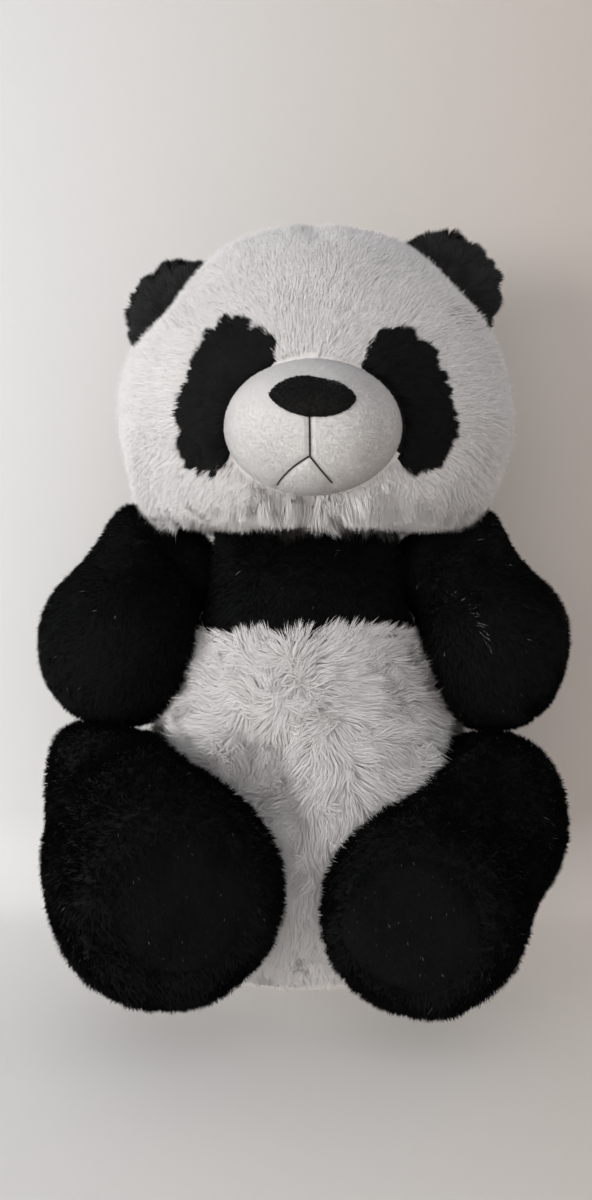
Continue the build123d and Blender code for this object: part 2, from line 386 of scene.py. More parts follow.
def cloth_material(name, colour, grain=0.6, spread=0.1, roughness=0.85, sheen=0.3, bump=0.15, specular=0.2):
    """Short napped fabric: fine uneven grain in colour and height."""
    m = Shading(name)
    place = m.add("TexCoord").outputs["Object"]
    fine = m.add("TexNoise", {"Vector": place, "Scale": 1000 / grain, "Detail": 3})
    broad = m.add("TexNoise", {"Vector": place, "Scale": 60, "Detail": 4})
    total = m.add("Math", {0: fine.outputs[0], 1: broad.outputs[0]}, operation="ADD")
    ramp = m.add("MapRange", {"Value": total.outputs[0], "From Min": 0.6, "From Max": 1.4,
                              "To Min": 1 - spread, "To Max": 1 + spread})
    scaled = m.add("VectorMath", {0: colour, "Scale": ramp.outputs[0]}, operation="SCALE")
    height = m.add("Bump", {"Strength": bump, "Distance": grain * MM, "Height": fine.outputs[0]})
    return m.finish({"Base Color": scaled.outputs[0], "Normal": height.outputs[0], "Roughness": roughness,
                     "Specular IOR Level": specular, "Sheen Weight": sheen})


WHITE_PILE = pile_material("white_pile", (0.80, 0.775, 0.76), (0.90, 0.88, 0.868), 0.035, 0.95, 0.03)
BELLY_PILE = pile_material("belly_pile", (0.74, 0.71, 0.69), (0.92, 0.895, 0.88), 0.05, 0.85, 0.08)
BLACK_PILE = pile_material("black_pile", (0.003, 0.003, 0.0032), (0.0098, 0.0104, 0.0106), 0.25, 0.8, 0.06)
EAR_PILE = pile_material("ear_pile", (0.005, 0.005, 0.0055), (0.046, 0.047, 0.047), 0.45, 0.65, 0.18)
PATCH_PILE = pile_material("patch_pile", (0.004, 0.004, 0.0042), (0.0125, 0.0125, 0.013), 0.3, 0.7, 0.12)
PAD_PILE = pile_material("pad_pile", (0.0045, 0.0045, 0.0047), (0.0095, 0.0102, 0.0103), 0.25, 0.85, 0.06)
FUZZ = pile_material("muzzle_fuzz", (0.66, 0.645, 0.63), (0.74, 0.725, 0.71), 0.05, 0.95, 0.03)
NOSE_PILE = pile_material("nose_pile", (0.010, 0.0095, 0.0095), (0.022, 0.021, 0.020), 0.35, 0.8, 0.1)
WHITE_CLOTH = cloth_material("white_backing", (0.78, 0.755, 0.735))
BLACK_CLOTH = cloth_material("black_backing", (0.004, 0.004, 0.0045), spread=0.3, sheen=0.1)
VELBOA = cloth_material("velboa", (0.70, 0.685, 0.67), grain=0.5, spread=0.03, roughness=1, sheen=0, bump=0.12,
                        specular=0.05)
NOSE_CLOTH = cloth_material("nose_cloth", (0.0075, 0.007, 0.0068), grain=0.7, spread=0.25, roughness=0.7, bump=0.4)
BLACK_THREAD = cloth_material("black_thread", (0.02, 0.018, 0.017), grain=0.3, spread=0.3, bump=0.5)
WHITE_THREAD = cloth_material("white_thread", (0.75, 0.73, 0.70), grain=0.3, spread=0.1, bump=0.5)


# ---------------------------------------------------------------- pile

HAIR_POINTS, HAIR_LOOPS = 5, 7  # a quad and a triangle at its end
HAIR_SPOTS = ((0.2, 0.1), (0.8, 0.1), (0.8, 0.55), (0.2, 0.55),  # of its loops, in its cell of the UV map
              (0.2, 0.55), (0.8, 0.55), (0.5, 0.9))


def scatter(skin, count, seed, keep):
    """Even random roots on the skin where keep(points, normals) is true, with the skin's smooth normals."""
    rng = np.random.default_rng(seed)
    a, b, c = skin.corners()
    middle = (a + b + c) / 3
    normals = skin.normals()
    na, nb, nc = (normals[skin.tris[:, i]] for i in range(3))
    area = np.linalg.norm(np.cross(b - a, c - a), axis=1)
    inside = keep(middle, unit(na + nb + nc)).astype(float)
    weight = area * np.maximum(inside, 0)
    pick = rng.choice(len(area), size=int(count * DENSITY), p=weight / weight.sum())
    u, v = rng.random((2, len(pick), 1))
    over = u + v > 1
    u, v = np.where(over, 1 - u, u), np.where(over, 1 - v, v)
    w = 1 - u - v
    points = a[pick] * w + b[pick] * u + c[pick] * v
    return points, unit(na[pick] * w + nb[pick] * u + nc[pick] * v), rng


def surface(skin, keep):
    """The skin's area where keep is true, in square millimetres."""
    a, b, c = skin.corners()
    area = np.linalg.norm(np.cross(b - a, c - a), axis=1) / 2
    mask = keep((a + b + c) / 3, unit(np.cross(b - a, c - a)))
    return float((area * (mask > 0)).sum())


def grow(name, skin, body, material, slot, count, keep, comb, length, width, lift=(0.8, 0.4), jitter=0.25,
         clump=(3.0, 0.5), swirl=(30.0, 0.3), droop=0.0, soft=0.75, upright=0.0, level=1.0, seed=1,
         sink=0.8, lint=None):
    """Pile as tapered hairs in tufts, in one mesh.

    comb(points, normals) is the way the nap lies. length is millimetres or a function of points. lift is how far
    hairs stand up at root and tip, clump is tuft spacing and how closely a tuft's tips gather, swirl is the size
    and strength of the nap's wandering. soft is the skin's share in the shading normal, the rest being the hair's
    own; upright turns the skin's normal square to the hair, and level scales its height. sink is how deep the
    roots are in the skin. lint is the share of hairs that are dusty, as a function of points.
    """
    p, n, rng = scatter(skin, count, seed, keep)
    total = len(p)
    nap = comb(p, n)
    wander = swirl[1](p)[:, None] if callable(swirl[1]) else swirl[1]
    nap = nap + wave(p, swirl[0], seed + 50) * wander
    nap = nap - dot(nap, n) * n
    strength = np.minimum(np.linalg.norm(nap, axis=1, keepdims=True), 1)
    nap = unit(nap) * strength
    rand = rng.normal(size=(total, 3))
    down = np.array((0, 0, -1.0))
    d0 = unit(n * lift[0] + nap + rand * jitter * 0.6)
    d1 = unit(n * lift[1] + nap + rand * jitter + down * droop)
    size = (length(p) if callable(length) else np.full(total, float(length))) * rng.uniform(0.72, 1.12, total)
    size = size[:, None]
    root = p - n * sink
    mid = root + d0 * size * 0.5
    tip = mid + d1 * size * 0.5
    spacing, gather = clump
    hairs_per_tuft = max(1.0, total * spacing * spacing / max(surface(skin, keep), 1.0))
    centres = min(max(8, int(total / hairs_per_tuft)), total)
    tree = kdtree.KDTree(centres)
    for i in range(centres):
        tree.insert(p[i], i)
    tree.balance()
    near = np.array([tree.find(q)[1] for q in p])
    pull = gather * rng.uniform(0.5, 1.0, (total, 1))
    tip = tip + (tip[near] - tip) * pull
    mid = mid + (mid[near] - mid) * pull * 0.35
    for points in (root, mid, tip):
        points[:, 2] = np.maximum(points[:, 2], FLOOR_GAP)
    tone = rng.random(total)
    tuft = rng.random(centres)[near]
    along = unit(tip - root)
    side = unit(np.cross(along, n))
    twist = rng.uniform(-1.0, 1.0, (total, 1))
    side = side * np.cos(twist) + np.cross(along, side) * np.sin(twist)
    half = width / 2 * rng.uniform(0.7, 1.3, (total, 1))
    face = np.cross(side, along)
    side = np.where(dot(face, n) < 0, -side, side)
    verts = np.stack((root - side * half, root + side * half, mid - side * half * 0.8, mid + side * half * 0.8,
                      tip), 1).reshape(-1, 3)
    base = np.arange(total)[:, None] * HAIR_POINTS
    quads = base + np.array((0, 1, 3, 2))
    ends = base + np.array((2, 3, 4))
    mesh = bpy.data.meshes.new(name)
    mesh.vertices.add(total * HAIR_POINTS)
    mesh.vertices.foreach_set("co", (verts * MM).ravel())
    loops = np.concatenate((quads, ends), 1).ravel()
    mesh.loops.add(total * HAIR_LOOPS)
    mesh.loops.foreach_set("vertex_index", loops.astype(np.int32))
    mesh.polygons.add(total * 2)
    starts = (np.arange(total)[:, None] * HAIR_LOOPS + np.array((0, 4))).ravel()
    mesh.polygons.foreach_set("loop_start", starts.astype(np.int32))
    mesh.update(calc_edges=True)
    mesh.polygons.foreach_set("use_smooth", np.ones(total * 2, bool))
    hair = mesh.attributes.new("hair", "FLOAT_COLOR", "POINT")
    colour = np.zeros((total, HAIR_POINTS, 4))
    colour[:, :, 0] = tone[:, None]
    colour[:, :, 1] = (0.0, 0.0, 0.6, 0.6, 1.0)
    colour[:, :, 2] = tuft[:, None]
    colour[:, :, 3] = 1 if lint is None else (rng.random(total) >= lint(p))[:, None]
    hair.data.foreach_set("color", colour.ravel())
    grid = int(math.ceil(math.sqrt(total)))
    cell = 1.0 / grid
    corner = np.stack((np.arange(total) % grid, np.arange(total) // grid), 1) * cell
    uv = mesh.uv_layers.new(name="OFBake")
    uv.data.foreach_set("uv", (corner[:, None, :] + np.array(HAIR_SPOTS)[None] * cell).ravel())
    flat = unit(np.cross(side, along))
    turned = n - along * dot(n, along) * upright
    turned[:, 2] *= level(p) if callable(level) else level
    normal = unit(unit(turned) * soft + flat * (1 - soft) + along * 0.15)
    mesh.normals_split_custom_set_from_vertices(np.repeat(normal, HAIR_POINTS, 0).tolist())
    obj = add_object(name, mesh, material)
    dress(obj, body, slot)
    return obj


# ---------------------------------------------------------------- torso

SHOULDER_HOLLOW, HIP_HOLLOW, NECK_HOLLOW = 31, 48, 40  # radii of the hollows that hold limbs and head
SIDE_SEAM = 12  # y of the seam between front and back
SEAT_TOP = 6  # pile of belly and back starts above it


def torso_boundary(p):
    """Height of the line where black meets white."""
    front = 190.5 + 2.0 * np.sin(p[:, 0] / 19.0)
    return np.where(p[:, 1] < SIDE_SEAM, front, 150 + 2 * np.sin(p[:, 0] / 15.0))


def in_socket(p, grow_by=0.0):
    hidden = np.zeros(len(p), bool)
    for side in SIDES.values():
        hidden |= np.linalg.norm(p - on_side(SHOULDER, side), axis=1) < SHOULDER_HOLLOW + grow_by
        hidden |= np.linalg.norm(p - on_side(HIP, side), axis=1) < HIP_HOLLOW + grow_by
    return hidden | ((np.linalg.norm(p - NECK, axis=1) < NECK_HOLLOW) & (p[:, 2] > 262))


def torso_shape(p, n):
    """Stuffed fabric over the frame's torso: dented belly, full shoulders, a throat, and a lifted front edge."""
    out = p + n * 1.8
    socket = in_socket(p, 1.0)
    out = np.where(socket[:, None], p - n * 0.6, out)
    front = smoothstep(0, -40, p[:, 1])
    dent = np.exp(-(((p[:, 0] + 20) / 17) ** 4 + ((p[:, 2] - 126) / 24) ** 2)) * front
    low_dent = np.exp(-(((p[:, 0] + 4) / 16) ** 2 + ((p[:, 2] - 92) / 40) ** 2)) * front
    out = out + np.array((0, 1.0, 0)) * (20 * dent + 5 * low_dent)[:, None]
    collar = np.exp(-(((np.abs(p[:, 0]) - 52) / 14) ** 2 + ((p[:, 2] - 240) / 14) ** 2))
    upwards = np.stack((0.35 * np.sign(p[:, 0]), np.full(len(p), -0.1), np.ones(len(p))), 1)
    out = out + upwards * (15 * collar)[:, None]
    throat = hump(p[:, 2], 254, 13) * smoothstep(-10, -40, p[:, 1])
    out[:, 1] += 6.0 * throat
    out[:, 2] = np.maximum(out[:, 2], 1.0)
    out[:, 2] += 7 * smoothstep(40, 0, p[:, 2]) * smoothstep(-35, -75, p[:, 1])
    return out


torso_mesh = remeshed("torso_stuffing", "torso", BODY_VOXEL)
torso_points = read_skin(torso_mesh).verts
torso_pins = (in_socket(torso_points, 4) | (torso_points[:, 2] < 8)).astype(float)
torso = shaped(puffed(torso_mesh, torso_pins, BODY_CAP), torso_shape, "torso_fabric", WHITE_CLOTH, BLACK_CLOTH)
torso_skin = read_skin(torso.data)
middles = np.array([tuple(f.center) for f in torso.data.polygons]) / MM
torso.data.polygons.foreach_set("material_index", (middles[:, 2] > torso_boundary(middles)).astype(np.int32))
dress(torso, "torso", "white_pile", "seat_panel", "belly_panel", "chest_band", "lower_back_panel",
      "upper_back_panel", "torso_stuffing", "pellet_bag")


def belly_comb(p, n):
    """Up at the top edge, outwards at the sides, down below, round a parting above the dent."""
    out = np.stack((p[:, 0] + 8, np.zeros(len(p)), (p[:, 2] - 165) * 1.2), 1)
    reach = np.linalg.norm(out, axis=1, keepdims=True)
    out = unit(out) * np.minimum(reach / 32, 1)
    low = smoothstep(120, 70, p[:, 2])[:, None]
    return out * (1 - low) + np.array((0, 0, -1.0)) * low


def belly_swirl(p):
    """The nap wanders most in the middle and is straight along the top edge."""
    return 0.75 - 0.5 * smoothstep(172, 186, p[:, 2])


def belly_level(p):
    """Near the seat, hairs shade as if they faced sideways, or they would be too dark."""
    return 0.3 + 0.7 * smoothstep(55, 95, p[:, 2])


def belly_length(p):
    return 7 + 10 * smoothstep(20, 75, p[:, 2]) - 4 * smoothstep(175, 190, p[:, 2])


def is_belly(p, n):
    below = (p[:, 2] < torso_boundary(p)) & (p[:, 2] > SEAT_TOP)
    return (p[:, 1] < SIDE_SEAM + 2) & below & ~in_socket(p, -3)


def is_chest(p, n):
    return (p[:, 2] >= torso_boundary(p)) & ~in_socket(p, np.where(p[:, 2] > 236, -20, -3))


def is_lower_back(p, n):
    below = (p[:, 2] < torso_boundary(p)) & (p[:, 2] > SEAT_TOP)
    return (p[:, 1] >= SIDE_SEAM) & below & ~in_socket(p, -3)


def is_seat(p, n):
    return (p[:, 2] <= SEAT_TOP + 1) & (n[:, 2] < -0.3)


def downward(p, n):
    return np.tile((0, 0, -1.0), (len(p), 1))


def outward_flat(p, n):
    return unit(p * np.array((1, 1, 0)))


for name, side in SIDES.items():
    grow(f"belly_pile_{name}", torso_skin, "torso", BELLY_PILE, "long_white_pile", 62000,
         lambda p, n: is_belly(p, n) & (side * p[:, 0] >= 0), belly_comb, belly_length, 0.55, lift=(0.7, 0.32),
         jitter=0.27, clump=(5.2, 0.52), swirl=(24, belly_swirl), soft=0.84, upright=0.35, level=belly_level,
         seed=11 + side)
    grow(f"lower_back_pile_{name}", torso_skin, "torso", WHITE_PILE, "white_pile", 52000,
         lambda p, n: is_lower_back(p, n) & (side * p[:, 0] >= 0), downward, 11, 0.6, lift=(0.9, 0.45),
         jitter=0.2, clump=(4.5, 0.5), soft=0.8, upright=0.3, seed=14 + side)


def chest_comb(p, n):
    """Down, but up and outwards round the neck, except under the chin."""
    beside = np.maximum(smoothstep(34, 46, np.abs(p[:, 0])), smoothstep(-30, -10, p[:, 1]))
    high = (smoothstep(228, 244, p[:, 2]) * beside)[:, None]
    return np.array((0, 0, -1.0)) * (1 - high) + unit(p * (1, 0.6, 0) + (0, 0, 40)) * high


grow("chest_pile_hairs", torso_skin, "torso", BLACK_PILE, "black_pile", 64000, is_chest, chest_comb, 7.5, 0.6,
     lift=(1.1, 0.7), seed=17, clump=(3, 0.4), lint=lambda p: 0.0008)
grow("seat_pile_hairs", torso_skin, "torso", WHITE_PILE, "white_pile", 8000, is_seat, outward_flat, 5, 1.0,
     lift=(0.05, 0.0), jitter=0.05, seed=18, sink=0.2)


# ---------------------------------------------------------------- head

def head_shape(p, n):
    """A softer head than the frame's: narrower crown, hanging cheeks, and seam notches over crown and chin."""
    away = smoothstep(42, 52, np.linalg.norm(p - NECK, axis=1))
    out = p + n * (0.2 + 2.4 * away)[:, None]
    z = p[:, 2]
    crown = hump(z, 376, 24)
    cheek = hump(z, 303, 26) * np.where(p[:, 0] < 0, 0.01, 0.035)
    jowl = hump(z, 264, 13)
    narrow = np.where(p[:, 0] < 0, 0.165, 0.055)
    out[:, 0] *= 1 + away * (cheek + 0.07 * jowl - narrow * crown)
    out[:, 2] -= 3.0 * jowl * smoothstep(40, 80, np.abs(p[:, 0])) * away
    out[:, 1] -= 4.0 * hump(z, 268, 16) * smoothstep(-20, -60, p[:, 1]) * away
    seam = hump(p[:, 0], 0, 5) * ((z > 385) | ((z < 275) & (p[:, 1] < 0)))
    out -= n * (3.0 * seam)[:, None]
    under = smoothstep(1.13, 1.05, muzzle_reach(out + HEAD_ASIDE)) * (n[:, 1] < 0.2)
    return out - n * (7.0 * under)[:, None] + HEAD_ASIDE


def muzzle_reach(p):
    """Under 1 inside the muzzle."""
    return np.linalg.norm((p - MUZZLE) / MUZZLE_HALF, axis=1)


head_mesh = remeshed("head_stuffing", "head", BODY_VOXEL)
head_points = read_skin(head_mesh).verts
head_pins = (np.linalg.norm(head_points - NECK, axis=1) < 50).astype(float)
for seam in (hump(head_points[:, 0], 0, 5), hump(head_points[:, 1], 20, 4)):
    head_pins = np.maximum(head_pins, seam)
head = shaped(puffed(head_mesh, head_pins, BODY_CAP), head_shape, "head_fabric", WHITE_CLOTH, BLACK_CLOTH)
head_skin = read_skin(head.data)
dress(head, "head", "white_pile", "face_panel_left", "face_panel_right", "head_back_panel", "head_stuffing",
      "eye_patch_left", "eye_patch_right")

PATCH_TILT = math.radians(22)
PATCH_ACROSS, PATCH_POWER = 18.5, 2.4  # half width, and how square the oval is
PATCH_DROP = {1: 4.5, -1: 2.0}  # how much lower than in the frame, on each side
PATCH_UP = {1: 31.0, -1: 33.5}  # half length


def patch_distance(p, side):
    """Under 1 inside an eye patch."""
    x = side * (p[:, 0] - HEAD_ASIDE[0]) - PATCH[0] + 3
    z = p[:, 2] - PATCH[2] + PATCH_DROP[side]
    across = x * math.cos(PATCH_TILT) + z * math.sin(PATCH_TILT)
    up = -x * math.sin(PATCH_TILT) + z * math.cos(PATCH_TILT)
    ragged = 1 + 0.05 * wave(p, 9, 91, 1)[:, 0]
    oval = np.abs(across / PATCH_ACROSS) ** PATCH_POWER + np.abs(up / PATCH_UP[side]) ** PATCH_POWER
    return oval ** (1 / PATCH_POWER) * ragged + np.where(p[:, 1] < -20, 0, 9)


def in_patch(p):
    return np.minimum(patch_distance(p, 1), patch_distance(p, -1)) < 1


middles = np.array([tuple(f.center) for f in head.data.polygons]) / MM
head.data.polygons.foreach_set("material_index", in_patch(middles).astype(np.int32))


def is_face_fur(p, n):
    clear = (muzzle_reach(p) > 1.03) & (np.linalg.norm(p - NECK, axis=1) > 47)
    return clear & ~in_patch(p)


def head_comb(p, n):
    """Away from the middle of the face, and down over the cheeks and chin."""
    centre = MUZZLE + (0, -10, 16)
    out = unit(p - centre)
    low = smoothstep(310, 265, p[:, 2])[:, None]
    back = smoothstep(0, 50, p[:, 1])[:, None]
    return unit(out * (1 - 0.8 * back) + np.array((0, 0, -0.9)) * np.maximum(low, back)) * 0.9


def head_length(p):
    """Longer on cheeks and chin, shorter round the muzzle."""
    low = smoothstep(305, 262, p[:, 2])
    near = smoothstep(1.35, 1.02, muzzle_reach(p))
    brow = smoothstep(330, 350, p[:, 2]) * smoothstep(60, 30, np.abs(p[:, 0]))
    side = smoothstep(70, 95, np.abs(p[:, 0]))
    return (10 + 3 * low + 2.5 * side - 2 * brow) * (1 - 0.5 * near)


FACE_MIDDLE, FACE_BACK, BROW = HEAD_ASIDE[0], 10, 345  # x, y and z where the zones of the head's pile meet
zones = {
    "head_pile_left": lambda p: (p[:, 0] >= FACE_MIDDLE) & (p[:, 1] < FACE_BACK) & (p[:, 2] < BROW),
    "head_pile_right": lambda p: (p[:, 0] < FACE_MIDDLE) & (p[:, 1] < FACE_BACK) & (p[:, 2] < BROW),
    "head_pile_brow": lambda p: (p[:, 1] < FACE_BACK) & (p[:, 2] >= BROW),
    "head_pile_back_left": lambda p: (p[:, 0] >= FACE_MIDDLE) & (p[:, 1] >= FACE_BACK),
    "head_pile_back_right": lambda p: (p[:, 0] < FACE_MIDDLE) & (p[:, 1] >= FACE_BACK),
}
for i, (name, zone) in enumerate(zones.items()):
    grow(name, head_skin, "head", WHITE_PILE, "white_pile", 64000, lambda p, n: is_face_fur(p, n) & zone(p),
         head_comb, head_length, 0.5, lift=(0.8, 0.42), jitter=0.2, clump=(3.2, 0.26), swirl=(40, 0.22),
         soft=0.955, upright=0.4, level=lambda p: 0.25 + 0.35 * smoothstep(262, 300, p[:, 2]), seed=21 + i)


def on_jaw(p, n):
    clear = (muzzle_reach(p) > 1.12) & (np.linalg.norm(p - NECK, axis=1) > 44)
    return clear & (p[:, 2] < 270) & (p[:, 1] < 25) & (n[:, 2] > -0.97)


def jaw_length(p):
    """Uneven, longest under the chin."""
    return (20 - 11 * smoothstep(254, 270, p[:, 2])) * (1 + 0.3 * wave(p, 9, 29, 1)[:, 0])


def jaw_comb(p, n):
    """Down and a little outwards."""
    return unit(p * (1, 1, 0) - (HEAD_ASIDE[0], 0, 0)) * 0.3 + (0, 0, -0.6)


grow("jaw_pile", head_skin, "head", WHITE_PILE, "white_pile", 40000, on_jaw, jaw_comb, jaw_length, 0.5,
     lift=(0.85, 0.35), jitter=0.24, clump=(4.2, 0.6), swirl=(15, 0.35), droop=0.7, soft=0.9, level=0.25, seed=28)
for name, side in SIDES.items():
    grow(f"eye_patch_pile_{name}", head_skin, "head", PATCH_PILE, "black_pile", 24000,
         lambda p, n: (patch_distance(p, side) < 1.02) & (muzzle_reach(p) > 1.03), head_comb, 9, 0.6,
         lift=(0.85, 0.4), jitter=0.28, clump=(3.5, 0.55), seed=30 + side)


# ---------------------------------------------------------------- muzzle, nose and mouth

MUZZLE_BALL = MUZZLE_HALF - 0.2  # the fabric, under its fuzz
FAR = 1e3


def ball_mesh(name, centre, half):
    rings, segments = 110, 150
    verts = []
    for i in range(rings + 1):
        polar = math.pi * i / rings
        for j in range(segments):
            turn = 2 * math.pi * j / segments
            verts.append((centre[0] + half[0] * math.sin(polar) * math.cos(turn),
                          centre[1] + half[1] * math.cos(polar),
                          centre[2] + half[2] * math.sin(polar) * math.sin(turn)))
    return mesh_from(name, verts, ring_quads(rings, segments, (1, 2, 3, 0)))


def mouth_point(line, t):
    """Points of the mouth's lines before they are laid on the muzzle. Line 0 is upright, 1 and 2 are its arms."""
    x, fork = NOSE[0] - 1.5, MOUTH_TOP - 17
    if line == 0:
        return x + 0.4 * t, MOUTH_TOP + (fork - MOUTH_TOP) * t
    if line == 1:
        return x - 15 * t, fork - 6.5 * t - 3.2 * t * t
    return x + 0.4 + 10.5 * t, fork - 11.0 * t + 1.5 * t * t


def mouth_distance(p):
    """How far points are from the mouth's lines, seen from the front."""
    nearest = np.full(len(p), FAR)
    for line in range(3):
        x, z = mouth_point(line, np.linspace(0, 1, 14))
        x = np.broadcast_to(x, z.shape)
        nearest = np.minimum(nearest, np.hypot(p[:, 0, None] - x, p[:, 2, None] - z).min(1))
    return np.where(p[:, 1] < MUZZLE[1], nearest, FAR)


def muzzle_fold(p):
    """How far the muzzle's surface is pulled in by its stitches, and pushed out by the stuffing between them."""
    x, z = p[:, 0] - NOSE[0], p[:, 2] - MUZZLE[2]
    groove = -0.9 * hump(mouth_distance(p), 0, 1.8)
    cheeks = 1.5 * np.exp(-(((np.abs(x) - 20) / 11) ** 2 + ((z + 7) / 13) ** 2))
    lip = 1.4 * np.exp(-((x / 12) ** 2 + ((z + 27) / 6) ** 2))
    return np.where(p[:, 1] < MUZZLE[1], groove + cheeks + lip, 0)


muzzle = add_object("muzzle_fabric", ball_mesh("muzzle", MUZZLE, MUZZLE_BALL), VELBOA)
muzzle_skin = read_skin(muzzle.data)
folded = muzzle_skin.verts + unit(muzzle_skin.verts - MUZZLE) * muzzle_fold(muzzle_skin.verts)[:, None]
muzzle.data.vertices.foreach_set("co", (folded * MM).ravel())
muzzle.data.update()
dress(muzzle, "head", "short_white_pile", "muzzle_cover")
muzzle_skin = read_skin(muzzle.data)


def front_point(x, z, lift=0.0):
    """The muzzle's surface straight behind (x, z) as seen from the front."""
    x = np.broadcast_to(x, np.shape(z)).astype(float)
    h = MUZZLE_BALL
    u, w = (x - MUZZLE[0]) / h[0], (z - MUZZLE[2]) / h[2]
    points = np.stack((x, MUZZLE[1] - h[1] * np.sqrt(np.maximum(1 - u * u - w * w, 0)), z), -1)
    return points + unit(points - MUZZLE) * (muzzle_fold(points) + lift)[:, None]


def nose_outline(turn):
    """A leaf with a point at each side, a low saddle in its top and a slight tilt."""
    x = 18.8 * np.sign(np.cos(turn)) * np.abs(np.cos(turn)) ** 0.85
    s = np.sin(turn)
    z = np.where(s > 0, 8.8, 9.6) * np.sign(s) * np.abs(s) ** 1.45
    z = z - np.where(s > 0, hump(x, 5, 5), 0) - 0.06 * x
    return x + NOSE[0], z + NOSE[2]


def nose_mesh():
    """A low cushion inside the outline, closed over its middle."""
    turns = np.linspace(0, 2 * math.pi, 96, endpoint=False)
    x, z = nose_outline(turns)
    cx, cz = NOSE[0], NOSE[2]
    rings = [(1.0, -0.4), (1.0, 0.8), (0.97, 1.35), (0.9, 1.7), (0.75, 1.9), (0.55, 2.0), (0.3, 2.1)]
    verts = []
    for share, lift in rings:
        verts.extend(front_point(cx + (x - cx) * share, cz + (z - cz) * share, lift))
    verts.append(front_point(np.array([cx]), np.array([cz]), 2.1)[0])
    count, last = len(turns), len(rings) - 1
    faces = ring_quads(last, count)
    for j in range(count):
        faces.append((last * count + j, last * count + (j + 1) % count, len(verts) - 1))
    return mesh_from("nose", verts, faces)


nose = add_object("nose_patch", nose_mesh(), NOSE_CLOTH)
dress(nose, "head", "nose_cloth", "nose")
grow("nose_fuzz", read_skin(nose.data), "head", NOSE_PILE, "nose_cloth", 9000, lambda p, n: n[:, 1] < 0.3,
     lambda p, n: unit(p - NOSE - (0, 40, 0)), 1.5, 0.3, lift=(0.7, 0.4), jitter=0.35, clump=(1.2, 0.3), soft=0.8,
     seed=35, sink=0.3)


THREAD_R, STITCH, STITCH_SIDES = 0.46, 1.7, 8
STITCH_BOW = 0.25  # how far a stitch's middle stands off
STITCH_RINGS = ((-0.04, 0.15), (0.0, 0.6), (0.1, 0.95), (0.3, 1), (0.5, 1), (0.7, 1), (0.9, 0.95), (1.0, 0.6),
                (1.04, 0.15))  # place along the stitch, and share of its radius


def joined(parts):
    """One list of vertices and one of faces from several."""
    verts, faces = [], []
    for v, f in parts:
        faces += [tuple(i + len(verts) for i in face) for face in f]
        verts += v
    return verts, faces


def capsule(start, end):
    """One stitch of thick thread."""
    axis = unit(end - start)
    up = unit(np.cross(axis, (0.3, 0.1, 1.0)))
    other = np.cross(axis, up)
    out = unit((start + end) / 2 - MUZZLE)
    verts = []
    for t, share in STITCH_RINGS:
        middle = start + (end - start) * t + out * STITCH_BOW * math.sin(math.pi * min(max(t, 0), 1))
        for j in range(STITCH_SIDES):
            a = 2 * math.pi * j / STITCH_SIDES
            verts.append(middle + (up * math.cos(a) + other * math.sin(a)) * THREAD_R * share)
    last = len(STITCH_RINGS) - 1
    faces = ring_quads(last, STITCH_SIDES)
    faces.append(tuple(range(STITCH_SIDES))[::-1])
    faces.append(tuple(range(last * STITCH_SIDES, (last + 1) * STITCH_SIDES)))
    return verts, faces


def stitched(points):
    """Back stitches end to end along a line."""
    length = np.concatenate(([0], np.cumsum(np.linalg.norm(np.diff(points, axis=0), axis=1))))
    count = max(1, round(length[-1] / STITCH))
    at = np.linspace(0, length[-1], count + 1)
    ends = np.stack([np.interp(at, length, points[:, i]) for i in range(3)], 1)
    return joined(capsule(a, b + (b - a) * 0.08) for a, b in zip(ends[:-1], ends[1:]))


def mouth_lines():
    for line in range(3):
        x, z = mouth_point(line, np.linspace(0, 1, 30))
        yield front_point(x, z, 0.35)


mouth_mesh = mesh_from("mouth", *joined(stitched(line) for line in mouth_lines()))
mouth = add_object("mouth_thread", mouth_mesh, BLACK_THREAD)
dress(mouth, "head", "black_thread", "mouth_stitches")


def near_embroidery(p):
    x, z = p[:, 0] - NOSE[0], p[:, 2] - NOSE[2]
    on_nose = (np.abs(x) < 18) & (np.abs(z + 0.05 * x) < 8.6 * (1 - np.abs(x / 18.5) ** 1.9))
    return on_nose | (mouth_distance(p) < 0.7)


grow("muzzle_fuzz", muzzle_skin, "head", FUZZ, "short_white_pile", 62000,
     lambda p, n: (p[:, 1] < MUZZLE[1] + 8) & ~near_embroidery(p),
     lambda p, n: unit(p - (MUZZLE + (0, -42, 12))) * 0.9, 1.5, 0.3, lift=(0.6, 0.3), jitter=0.3, clump=(1.2, 0.3),
     soft=0.97, level=0.55, seed=33, sink=0.3)


# ---------------------------------------------------------------- ears

EAR_FOLD_R = 101.0  # how far each ear's fold line is from the head's middle
EAR_RIM = {"left": (95.0, 28.5), "right": (91.0, 27.0)}  # distance of the ear's middle, and its radius
EAR_SHIFT = {"left": (0, 0, -2.5), "right": (5.0, 0, -3.0)}  # the soft head carries its ears off the folds
EAR_BASE = -9.0  # how far the base goes into the head
EAR_HALF_THICK = 6.0


def ear_form(middle, out, chord, radius):
    """A stuffed disc with a straight base, cupped towards the front."""
    rings, segments = 16, 72
    verts = []
    for i in range(rings + 1):
        polar = math.pi * i / rings
        depth = -EAR_HALF_THICK * math.cos(polar)
        share = math.sin(polar) ** 0.6 if 0 < i < rings else 0.0
        for j in range(segments):
            turn = 2 * math.pi * j / segments
            across, up = radius * math.cos(turn) * share, radius * math.sin(turn) * share
            up = up if up > 0 else EAR_BASE * (1 - math.exp(up / 7))
            cup = 5.0 * (1 - (across / radius) ** 2) * (1 - max(up, 0) / radius)
            verts.append(middle + chord * across + out * up + np.array((0, depth + cup - 2, 0)))
    return mesh_from("ear", verts, ring_quads(rings, segments, (0, 3, 2, 1)))


